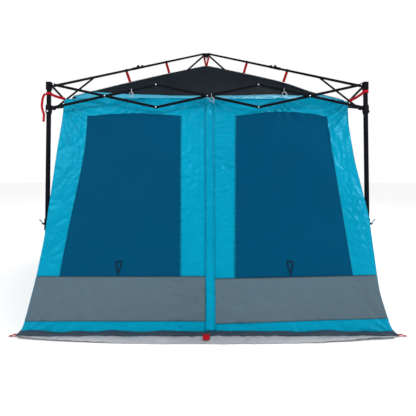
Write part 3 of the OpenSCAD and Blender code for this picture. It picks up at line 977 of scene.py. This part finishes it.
def grey_pair(prefix, seed, turn):
    made = []
    made.append(wall_panel(
        f"{prefix}_panel_left", lambda v: -half_width(between(GREY_FOOT, GREY_TOP, v), -1) + 0.006,
        lambda v: DOOR_EDGE, lambda u: GREY_FOOT, lambda u: GREY_TOP, 120, 30, LOWER_GREY,
        out=0.006, seed=seed, turn=turn))
    made.append(wall_panel(
        f"{prefix}_panel_right", lambda v: FLAP_EDGE - 0.004,
        lambda v: half_width(between(GREY_FOOT, GREY_TOP, v), 1) - 0.006,
        lambda u: GREY_FOOT - 0.018 + 0.038 * u, lambda u: GREY_TOP - 0.016 + 0.026 * u, 120, 30, LOWER_GREY,
        out=0.006, seed=seed, turn=turn))
    return made


def skirt(prefix, seed, turn):
    def crumpled(x, z):
        return 0.014 + 0.014 * noise.noise(Vector((x * 9.0, z * 30.0, seed)))

    def place(u, v):
        x_share = 2 * u - 1
        z = between(0.003, SKIRT_TOP + 0.014 * noise.noise(Vector((u * 14.0, seed, 0.0))), v)
        bulge = crumpled(x_share * 1.4, z) * (0.4 + math.sin(math.pi * v)) + 0.034 * (1 - v) ** 1.5
        return turn(front_point(x_share, z, bulge, seed))
    return patch(f"{prefix}_skirt", place, int(260 * GRID), 8, SKIRT_GREY, "tent",
                 outward=turn(Vector((0, -1, 0))))


tent_cloth = []
for prefix, seed, turn in (("front", 0.0, lambda p: p), ("back", 5.0, to_back)):
    tent_cloth += window_pair(prefix, seed, turn)
    tent_cloth += grey_pair(prefix, seed, turn)
    tent_cloth.append(skirt(prefix, seed, turn))
print("panels:", len(tent_cloth))

# %% [markdown]
# Each side wall has one wide window cover, a grey panel that keeps mud off below it, and a dark
# skirt along the ground. They are sewn on flat, a hair's width off the wall.

# %% Panels of the side walls
def side_panel(name, hand, y_low, y_high, z_low, z_high, material, out, seed):
    def place(u, v):
        z = between(z_low, z_high, v)
        reach = wall_reach(z)
        y = between(y_low(z), y_high(z), u)
        return side_point(y / reach, z, hand, out, seed)
    return patch(name, place, int(140 * GRID), int(50 * GRID) + 8, material, "tent",
                 thickness=0.0009, outward=(hand, 0, 0))


for hand, side, seed in ((-1, "left", 2.0), (1, "right", 3.0)):
    tent_cloth.append(side_panel(
        f"{side}_window", hand, lambda z: -(1.30 - 0.17 * z), lambda z: 1.30 - 0.17 * z, 0.43, 1.77,
        WINDOW_BLUE, 0.004, seed))
    tent_cloth.append(side_panel(
        f"{side}_panel", hand, lambda z: -wall_reach(z) + 0.008, lambda z: wall_reach(z) - 0.008,
        GREY_FOOT, GREY_TOP, LOWER_GREY, 0.005, seed))
    tent_cloth.append(side_panel(
        f"{side}_skirt", hand, lambda z: -wall_reach(z), lambda z: wall_reach(z), 0.004, SKIRT_TOP,
        SKIRT_GREY, 0.006, seed))
print("with the side walls:", len(tent_cloth))

# %% [markdown]
# A storm flap covers the zip down the middle of the door. It is a separate strip sewn along its
# left edge, so it lies over the grey panels and its free right edge casts a thin shadow. A row of
# stitches holds its hem.

# %% Storm flap and seams
FLAP_TOP = 1.925
FLAP_FOOT = 0.036


def strip(name, left, right, foot, top, material, out, across=8, up=150, seed=0.0, turn=lambda p: p,
          wander=0.0):
    def place(u, v):
        z = between(foot, top, v)
        sway = wander * noise.noise(Vector((z * 3.0, 4.0, seed)))
        return turn(front_spot(between(left, right, u) + sway, z, out, seed))
    return patch(name, place, across, up, material, "tent", thickness=0.0012,
                 outward=turn(Vector((0, -1, 0))))


def on_wall(x, low, high, out, seed, turn, count=90):
    heights = [between(low, high, i / (count - 1)) for i in range(count)]
    return [turn(front_spot(x(z), z, out, seed)) for z in heights]


THREAD = cloth("dark_stitching", (0.001, 0.11, 0.19), (0.001, 0.14, 0.23), 0.6, crease=0.0, weave=0.5)
PIPING = cloth("window_piping", (0.004, 0.20, 0.31), (0.002, 0.12, 0.2), 0.5, crease=0.0, weave=0.5)
for prefix, seed, turn in (("front", 0.0, lambda p: p), ("back", 5.0, to_back)):
    facing = turn(FRONT_NORMAL)
    tent_cloth.append(strip(f"{prefix}_storm_flap", DOOR_EDGE + 0.002, FLAP_EDGE, FLAP_FOOT, FLAP_TOP,
                            WALL_BLUE, 0.0085, seed=seed, turn=turn, wander=0.003))
    seams = (
        ("flap_stitch", lambda z: FLAP_EDGE - 0.008 + 0.003 * noise.noise(Vector((z * 3.0, 4.0, seed))),
         FLAP_FOOT, FLAP_TOP, 0.0102, 0.0024),
        ("flap_seam", lambda z: DOOR_EDGE + 0.007, FLAP_FOOT, FLAP_TOP, 0.0102, 0.0018),
        ("window_seam_left", lambda z: between(-0.222, -0.246, (z - 0.425) / 1.34) + 0.007, 0.42, 1.78,
         0.0035, 0.0022),
        ("window_seam_right", lambda z: between(0.220, 0.268, (z - 0.425) / 1.34) - 0.007, 0.42, 1.78,
         0.0035, 0.0022),
    )
    for label, x, low, high, out, width in seams:
        tent_cloth.append(ribbon(f"{prefix}_{label}", on_wall(x, low, high, out, seed, turn), width,
                                 lambda i, facing=facing: facing, THREAD, "tent", 0.0008))
print("flaps and seams:", len(tent_cloth))

# %% [markdown]
# A folded edge is rolled and sewn, so each window, panel and eave ends in a thin round hem. It
# catches the light as a fine line along the edge.

# %% Hems around the windows and along the grey panels
def edge_points(left, right, foot, top, seed, turn, out):
    loop = []
    path = [(0, 0, 1, 0), (1, 0, 1, 1), (1, 1, 0, 1), (0, 1, 0, 0)]
    for u0, v0, u1, v1 in path:
        for i in range(40):
            u, v = between(u0, u1, i / 40), between(v0, v1, i / 40)
            z = between(foot(u), top(u), v)
            x = between(left(v), right(v), u)
            loop.append(turn(front_spot(x, z, out, seed)))
    return loop


for prefix, seed, turn in (("front", 0.0, lambda p: p), ("back", 5.0, to_back)):
    outline = edge_points(window_outer, lambda v: between(-0.222, -0.246, v),
                          lambda u: WINDOW_FOOT, arch(0.026), seed, turn, 0.0045)
    tent_cloth.append(round_hem(f"{prefix}_window_left_hem", outline, 0.0016, PIPING, closed=True))
    outline = edge_points(lambda v: between(0.220, 0.268, v), lambda v: between(1.165, 1.105, v),
                          lambda u: between(WINDOW_FOOT, 0.415, u), arch(0.040), seed, turn, 0.0045)
    tent_cloth.append(round_hem(f"{prefix}_window_right_hem", outline, 0.0016, PIPING, closed=True))
    # The eave hems take the lighter border colour, a painted highlight.
    for label, foot, top, left, right in (
            ("eave_hem_left", 0, 0, -1.2, -0.02), ("eave_hem_right", 0, 0, 0.02, 1.2)):
        line = [turn(front_spot(between(left, right, i / 80), eave_z + 0.001, 0.002, seed))
                for i in range(81)]
        tent_cloth.append(round_hem(f"{prefix}_{label}", line, 0.004, BORDER_BLUE_PAINTED_HIGHLIGHT))
    line = [turn(front_spot(between(-1.36, DOOR_EDGE, i / 80), GREY_TOP + 0.001, 0.007, seed))
            for i in range(81)]
    tent_cloth.append(round_hem(f"{prefix}_panel_piping_left", line, 0.0022, SKIRT_GREY))
    line = []
    for i in range(81):
        u = i / 80
        height = GREY_TOP - 0.015 + 0.026 * u
        line.append(turn(front_spot(between(FLAP_EDGE, 1.342, u), height, 0.007, seed)))
    tent_cloth.append(round_hem(f"{prefix}_panel_piping_right", line, 0.0022, SKIRT_GREY))
print("hems done:", len(tent_cloth))

# %% [markdown]
# The ground cloth is one sheet. It lies under the whole tent and comes out a hand's width past the
# door wall and the back wall, where it rises in a crumpled roll before it reaches the ground.

# %% Ground cloth
FLAP_RISE = 0.026


def ground_point(u, v):
    x_share, y_share = 2 * u - 1, 2 * v - 1
    y = y_share * (flap_high.y + 0.072 * (1 - abs(x_share) ** 2.6) - 0.012)
    hand = 1 if x_share >= 0 else -1
    past = max(0.0, abs(y) - foot_reach - 0.012) / 0.11
    edge_wave = 0.010 * noise.noise(Vector((x_share * 6.0, 3.0 * y_share, 1.0)))
    reach = between(flap_high.x, half_width(0.0, hand) - 0.02, min(1.0, max(0.0, abs(y) - 1.6) / 0.3))
    x = x_share * (reach + (edge_wave if abs(x_share) > 0.9 else 0))
    uneven = 0.75 + 0.5 * noise.noise(Vector((x * 3, 8, y_share)))
    roll = FLAP_RISE * math.sin(math.pi * min(1.0, past)) * uneven
    fine = 0.006 * noise.noise(Vector((x * 21.0, y * 30.0, 2.0))) * min(1.0, past * 3)
    y += math.copysign(edge_wave, y) * min(1.0, past)
    return Vector((x, y, max(0.0025, 0.004 + roll + fine)))


ground_cloth = patch("ground_cloth", ground_point, int(150 * GRID), int(260 * GRID), FLAP_GREY, "tent",
                     outward=(0, 0, 1))
print("ground cloth", round(area_of(ground_cloth), 2), "square metres")

# %% [markdown]
# Red webbing does two jobs. At the ground it makes loops for the pegs. Above, it hangs the roof
# from the frame: four straps at the leg tops hold the corners of the tent, eight short ones drop
# from black loops round the beams, and four hold the peak under the hub.

# %% Webbing loops on the ground
def ground_loop(name, at, away, width, reach, rise):
    points = []
    for step in range(13):
        t = step / 12
        height = 0.004 + rise * math.sin(math.pi * t) ** 2
        points.append(Vector(at) + Vector(away) * reach * t + Vector((0, 0, height)))
    return ribbon(name, points, width, lambda i: Vector((0, 0, 1)), WEB_RED, "tent", 0.002)


tent_webbing = []
CORNER_HANDS = {"front_left": (-1, -1), "front_right": (1, -1), "rear_right": (1, 1), "rear_left": (-1, 1)}
for label, (x_hand, y_hand) in CORNER_HANDS.items():
    start = (x_hand * 1.425, y_hand * (foot_reach + 0.005), 0.004)
    tent_webbing.append(ground_loop(f"{label}_peg_loop", start, (x_hand * 0.98, y_hand * 0.12, 0),
                                    0.022, 0.085, 0.008))
for y_hand, label in ((-1, "front"), (1, "back")):
    tab = [Vector((-0.012, y_hand * (foot_reach + 0.05 + 0.06 * t / 8), 0.036 - 0.012 * (t / 8) ** 2))
           for t in range(9)]
    tent_webbing.append(ribbon(f"{label}_middle_tab", tab, 0.05, lambda i: Vector((0, 0, 1)), WEB_RED,
                               "tent", 0.002))

# %% [markdown]
# A black loop is wound round each beam at two places, and a short red strap drops from it to the
# roof seam. The straps are taut, so each is a straight band from the loop to the cloth.

# %% Webbing straps from the frame to the tent
BEAM_LOOPS = (0.82, 1.37)
leg_radius = leg_out * math.sqrt(2)
BEAM_SLOPE = (hub_pivot - eave_pivot) / (leg_radius - 0.05)


def on_diagonal(corner, radius, z, aside=0.0):
    x_hand, y_hand = CORNER_HANDS[corner]
    x, y = x_hand * radius / math.sqrt(2), y_hand * radius / math.sqrt(2)
    off = Vector((x_hand * -y_hand, 1, 0)).normalized() * aside
    return Vector((x, y, z)) + off


def beam_spot(corner, distance):
    fold = joint_at[f"{corner}_fold_joint"]
    start = joint_at[f"{corner}_beam_joint"]
    hub_end = joint_at[f"{corner}_hub_joint"]
    start_out = math.hypot(start.x, start.y)
    slope = (hub_end.z - start.z) / (start_out - math.hypot(hub_end.x, hub_end.y))
    radius = leg_radius - distance
    return radius, start.z + (start_out - radius) * slope


def hip_height(radius):
    share = 1 - radius / (eave_half * math.sqrt(2))
    return eave_z + (peak_z - 0.006 - eave_z) * share + HIP_RISE * math.sin(math.pi * share)


def loop_round_beam(name, corner, distance, body):
    radius, z = beam_spot(corner, distance)
    way = Vector((-CORNER_HANDS[corner][0], -CORNER_HANDS[corner][1], 0)).normalized()
    along = (way + Vector((0, 0, BEAM_SLOPE))).normalized()
    across = along.cross(Vector((0, 0, 1))).normalized()
    upward = across.cross(along).normalized()
    centre = on_diagonal(corner, radius, z)
    half_wide, half_tall = 0.0085, 0.0145
    points = []
    for step in range(25):
        angle = 2 * math.pi * step / 24
        wide = half_wide * math.copysign(abs(math.cos(angle)) ** 0.45, math.cos(angle))
        tall = half_tall * math.copysign(abs(math.sin(angle)) ** 0.45, math.sin(angle))
        points.append(centre + across * wide + upward * tall)
    return ribbon(name, points, 0.022, lambda i: (points[i] - centre).normalized(), WEB_BLACK, body,
                  0.0018)


for corner in CORNERS:
    for number, distance in enumerate(BEAM_LOOPS):
        body = f"{corner}_outer_beam" if number == 0 else f"{corner}_inner_beam"
        loop_round_beam(f"{corner}_beam_loop_{number + 1}", corner, distance, body)
        radius, z = beam_spot(corner, distance)
        top = on_diagonal(corner, radius, z - 0.015)
        foot = on_diagonal(corner, radius - 0.045, hip_height(radius - 0.045) + 0.003)
        line = [top.lerp(foot, i / 10) for i in range(11)]
        face_way = Vector((CORNER_HANDS[corner][0] * 0.25, CORNER_HANDS[corner][1], 0)).normalized()
        tent_webbing.append(ribbon(f"{corner}_roof_strap_{number + 1}", line, 0.03, lambda i, f=face_way: f,
                                   WEB_RED, "tent", 0.0018))

# %% [markdown]
# At each leg a red band goes round the tube, under the top bracket, and pulls the corner of the
# tent outwards. At one corner the loose end of the strap hangs down. Four more bands join the
# peak of the roof to the hub.

# %% Corner straps, and the strap that holds the peak
RING_Z = 1.945


def corner_strap(corner):
    x_hand, y_hand = CORNER_HANDS[corner]
    leg = Vector((x_hand * leg_out, y_hand * leg_out, 0))
    low_side = x_hand > 0
    ring = Vector((x_hand * 1.326, y_hand * 1.388, RING_Z - (0.034 if low_side else 0.012)))
    outward = Vector((x_hand * 0.3, y_hand, 0)).normalized()
    band_z = 1.985 if low_side else 1.965
    start = leg + Vector((x_hand * -0.012, y_hand * 0.027, band_z))
    points = []
    for i in range(15):
        t = i / 14
        points.append(start.lerp(ring, t) - Vector((0, 0, 0.006 * math.sin(math.pi * t))))
    tent_webbing.append(ribbon(f"{corner}_corner_strap", points, 0.024, lambda i: outward, WEB_RED, "tent",
                               0.002))
    band = []
    for i in range(29):
        angle = 2 * math.pi * i / 28
        c, s = math.cos(angle), math.sin(angle)
        band.append(leg + Vector((0.0225 * math.copysign(abs(c) ** 0.4, c),
                                  0.0225 * math.copysign(abs(s) ** 0.4, s), band_z)))
    return ribbon(f"{corner}_strap_band", band, 0.024,
                  lambda i: (band[i] - leg - Vector((0, 0, band_z))).normalized(), WEB_RED,
                  f"{corner}_upper_leg", 0.002)


for corner in CORNERS:
    corner_strap(corner)

hang = Vector((-leg_out - 0.027, -leg_out - 0.012, 1.962))
tail_line = []
for i in range(25):
    t = i / 24
    swing = 0.026 * math.sin(math.pi * min(1.0, 1.35 * t)) + 0.012 * t
    drop = 0.02 * math.sin(math.pi * min(1.0, 3 * t)) - 0.255 * t
    tail_line.append(hang + Vector((-swing, -0.006 * t, drop)))
ribbon("front_left_hanging_tail", tail_line, 0.02,
       lambda i: Vector((0.45, -1, 0.1 * math.sin(i * 0.6))).normalized(), WEB_RED,
       "front_left_upper_leg", 0.002)

for quarter in range(4):
    line = []
    for i in range(9):
        t = i / 8
        spot = Vector((-0.032 + 0.028 * t, -0.004, between(hub_pivot - 0.03, peak_z - 0.012, t)))
        line.append(turned(spot, quarter))
    facing = turned(Vector((0, -1, 0)), quarter)
    tent_webbing.append(ribbon(f"peak_strap_{quarter + 1}", line, 0.024, lambda i, f=facing: f, WEB_RED,
                               "tent", 0.0018))
print("webbing pieces on the tent:", len(tent_webbing))

# %% [markdown]
# Along each side the eaves are tied to the scissor bars with three thin cords. Each cord goes up
# from the cloth, round the bar and back, and ends in a bow with two loose ends.

# %% Cord ties
CORD_R = 0.0022
truss_top = joint_at["front_truss_1_top"].z
truss_low = slider_pivot


def tie_line(tie, side_number):
    """One cord: up from the eave to a bar, a turn round it, and down into a bow."""
    low = Vector((tie, -eave_half - 0.004, eave_z + 0.004))
    high = Vector((tie + 0.012, -leg_out - 0.022, truss_bar_height(tie) + 0.012))
    line = [low.lerp(high, i / 9) - Vector((0, 0, 0.008 * math.sin(math.pi * i / 9))) for i in range(10)]
    bow = high + Vector((0, -0.006, -0.034))
    for i in range(1, 8):
        line.append(high.lerp(bow, i / 7) + Vector((-0.004 * math.sin(math.pi * i / 7), 0, 0)))
    for i in range(1, 22):
        angle = 2 * math.pi * i / 21
        line.append(bow + Vector((-0.03 * math.sin(angle / 2) * math.sin(angle) - 0.001 * i / 21,
                                  -0.001 - 0.010 * i / 21, -0.020 * (1 - math.cos(angle)))))
    end = line[-1]
    for i in range(1, 12):
        t = i / 11
        line.append(end + Vector((0.022 * t + 0.004 * math.sin(5 * t), -0.004 * t, -0.062 * t)))
    return [turned(point, side_number) for point in line]


def truss_bar_height(x):
    """Height of the nearest scissor bar on a side at a distance along it."""
    cross = joint_at["front_truss_2_top"].x - joint_at["front_truss_1_top"].x
    start = joint_at["front_truss_1_top"].x
    share = ((x - start) / cross) % 1.0
    falling = truss_top + (truss_low - truss_top) * share
    rising = truss_low + (truss_top - truss_low) * share
    return max(falling, rising)


cord_ties = []
for side_number, side in enumerate(SIDES):
    for number, tie in enumerate(TIES):
        line = tie_line(tie, side_number)
        length = sum((b - a).length for a, b in zip(line, line[1:]))
        piece = round_hem(f"{side}_cord_tie_{number + 1}", line, CORD_R, CORD_GREY, sides=8)
        tuple(line[0])
        [tuple(p) for p in line]
        cord_ties.append(piece)
print("cord ties:", len(cord_ties), "each", round(length, 3), "m")

# %% [markdown]
# A rolled up window cover is held by a toggle and a loop. Here the covers are closed, so the
# loops hang free on the grey panels.

# %% Toggle loops under the windows
toggles = []
for prefix, seed, turn in (("front", 0.0, lambda p: p), ("back", 5.0, to_back)):
    for number, x in enumerate((-0.72, 0.67)):
        marks = ((-0.022, 0.526), (0.022, 0.526), (0.021, 0.505), (0.006, 0.446), (-0.006, 0.446),
                 (-0.021, 0.505))
        outline = []
        for (x0, z0), (x1, z1) in zip(marks, marks[1:] + marks[:1]):
            for i in range(6):
                spot = front_spot(x + between(x0, x1, i / 6), between(z0, z1, i / 6), 0.009, seed)
                outline.append(turn(spot))
        toggles.append(round_hem(f"{prefix}_toggle_loop_{number + 1}", outline, 0.0034, WEB_BLACK,
                                 closed=True))
        stem = [turn(front_spot(x, 0.444 - 0.004 * i, 0.008 - 0.0004 * i, seed)) for i in range(7)]
        toggles.append(round_hem(f"{prefix}_toggle_stem_{number + 1}", stem, 0.003, WEB_BLACK))
print("toggle loops:", len(toggles))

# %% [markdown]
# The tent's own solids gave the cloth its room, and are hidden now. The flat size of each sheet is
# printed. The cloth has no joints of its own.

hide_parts("tent_walls")
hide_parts("tent_roof")
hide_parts("ground_sheet")


def declare(piece):
    """The cut is the widest row and the longest column of the grid, less what its shape leaves off."""
    width = round(piece["cut_width"] * 1.005, 3)
    length = round(piece["cut_length"] * 1.01 + 0.002, 3)
    area = round(min(width * length, area_of(piece)), 4)
    print(piece.name, "flat", width, "x", length, "area", area)


for piece in (front_wall, back_wall, left_wall, right_wall):
    declare(piece)
for piece in roof_pieces:
    declare(piece)
declare(ground_cloth)
for piece in tent_cloth:
    if "cut_width" in piece:
        declare(piece)

everything_soft = [front_wall, back_wall, left_wall, right_wall, ground_cloth]
everything_soft += roof_pieces + roof_tapes + tent_cloth + tent_webbing + cord_ties + toggles
for piece in everything_soft:
    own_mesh(piece)
print("soft pieces:", len(everything_soft))

# %% [markdown]
# The bars of a scissor truss turn on plated rivets with domed heads, one head on each face of the
# pair of bars. Each head is the upper part of a flattened sphere, closed underneath, and rides on
# the bar it is fixed to, so it turns with the bar when the frame folds.

# %% Rivet caps
def dome(name, centre, axis, radius, height, material, body):
    shape = bmesh.new()
    uv = shape.loops.layers.uv.new("cloth")
    bmesh.ops.create_uvsphere(shape, u_segments=20, v_segments=12, radius=1.0)
    low_half = [v for v in shape.verts if v.co.z < -0.01]
    bmesh.ops.delete(shape, geom=low_half, context="VERTS")
    rim = [e for e in shape.edges if e.is_boundary]
    bmesh.ops.contextual_create(shape, geom=rim)
    turn = Vector(axis).to_track_quat("Z", "Y").to_matrix().to_4x4()
    sized = Matrix.Diagonal((radius, radius, height, 1))
    bmesh.ops.transform(shape, matrix=Matrix.Translation(centre) @ turn @ sized, verts=shape.verts)
    bmesh.ops.recalc_face_normals(shape, faces=shape.faces[:])
    return add_piece(name, shape, material, body)


RIVET_OUT = 0.01285
rivets = 0
TRUSS_SPOTS = ("truss_1_top", "truss_1_cross", "truss_2_top", "truss_2_bottom", "truss_3_top",
               "truss_3_cross")
joint_body = {j["name"]: j.get("child") or j.get("body") for j in frame["joints"]}
for side_number, side in enumerate(SIDES):
    for spot in TRUSS_SPOTS:
        name = f"{side}_{spot}"
        centre = joint_at[name]
        for face in (-1, 1):
            normal = turned(Vector((0, face, 0)), side_number)
            dome(f"{name}_rivet_{'out' if face < 0 else 'in'}", centre + normal * RIVET_OUT, normal,
                 0.0058, 0.0026, ZINC, joint_body[name])
            rivets += 1

# The bars past the middle turn on the same rivets, mirrored, and the two middle bars on one.
near_cross = joint_at["front_truss_1_cross"]
FAR_RIVETS = {"right_top": (joint_at["front_truss_2_top"] * Vector((-1, 1, 1)), 5),
              "right_low": (joint_at["front_truss_2_bottom"] * Vector((-1, 1, 1)), 6),
              "middle": (Vector((0, near_cross.y, near_cross.z)), 3)}
for side_number, side in enumerate(SIDES):
    for spot, (centre, bar) in FAR_RIVETS.items():
        for face in (-1, 1):
            place = turned(centre + Vector((0, face * RIVET_OUT, 0)), side_number)
            dome(f"{side}_{spot}_rivet_{'out' if face < 0 else 'in'}", place,
                 turned(Vector((0, face, 0)), side_number), 0.0058, 0.0026, ZINC,
                 f"{side}_truss_bar_{bar}")
            rivets += 1
print("rivet caps:", rivets)

out = {"cad": cad_box, "scene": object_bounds()}
print("boxes:", out)
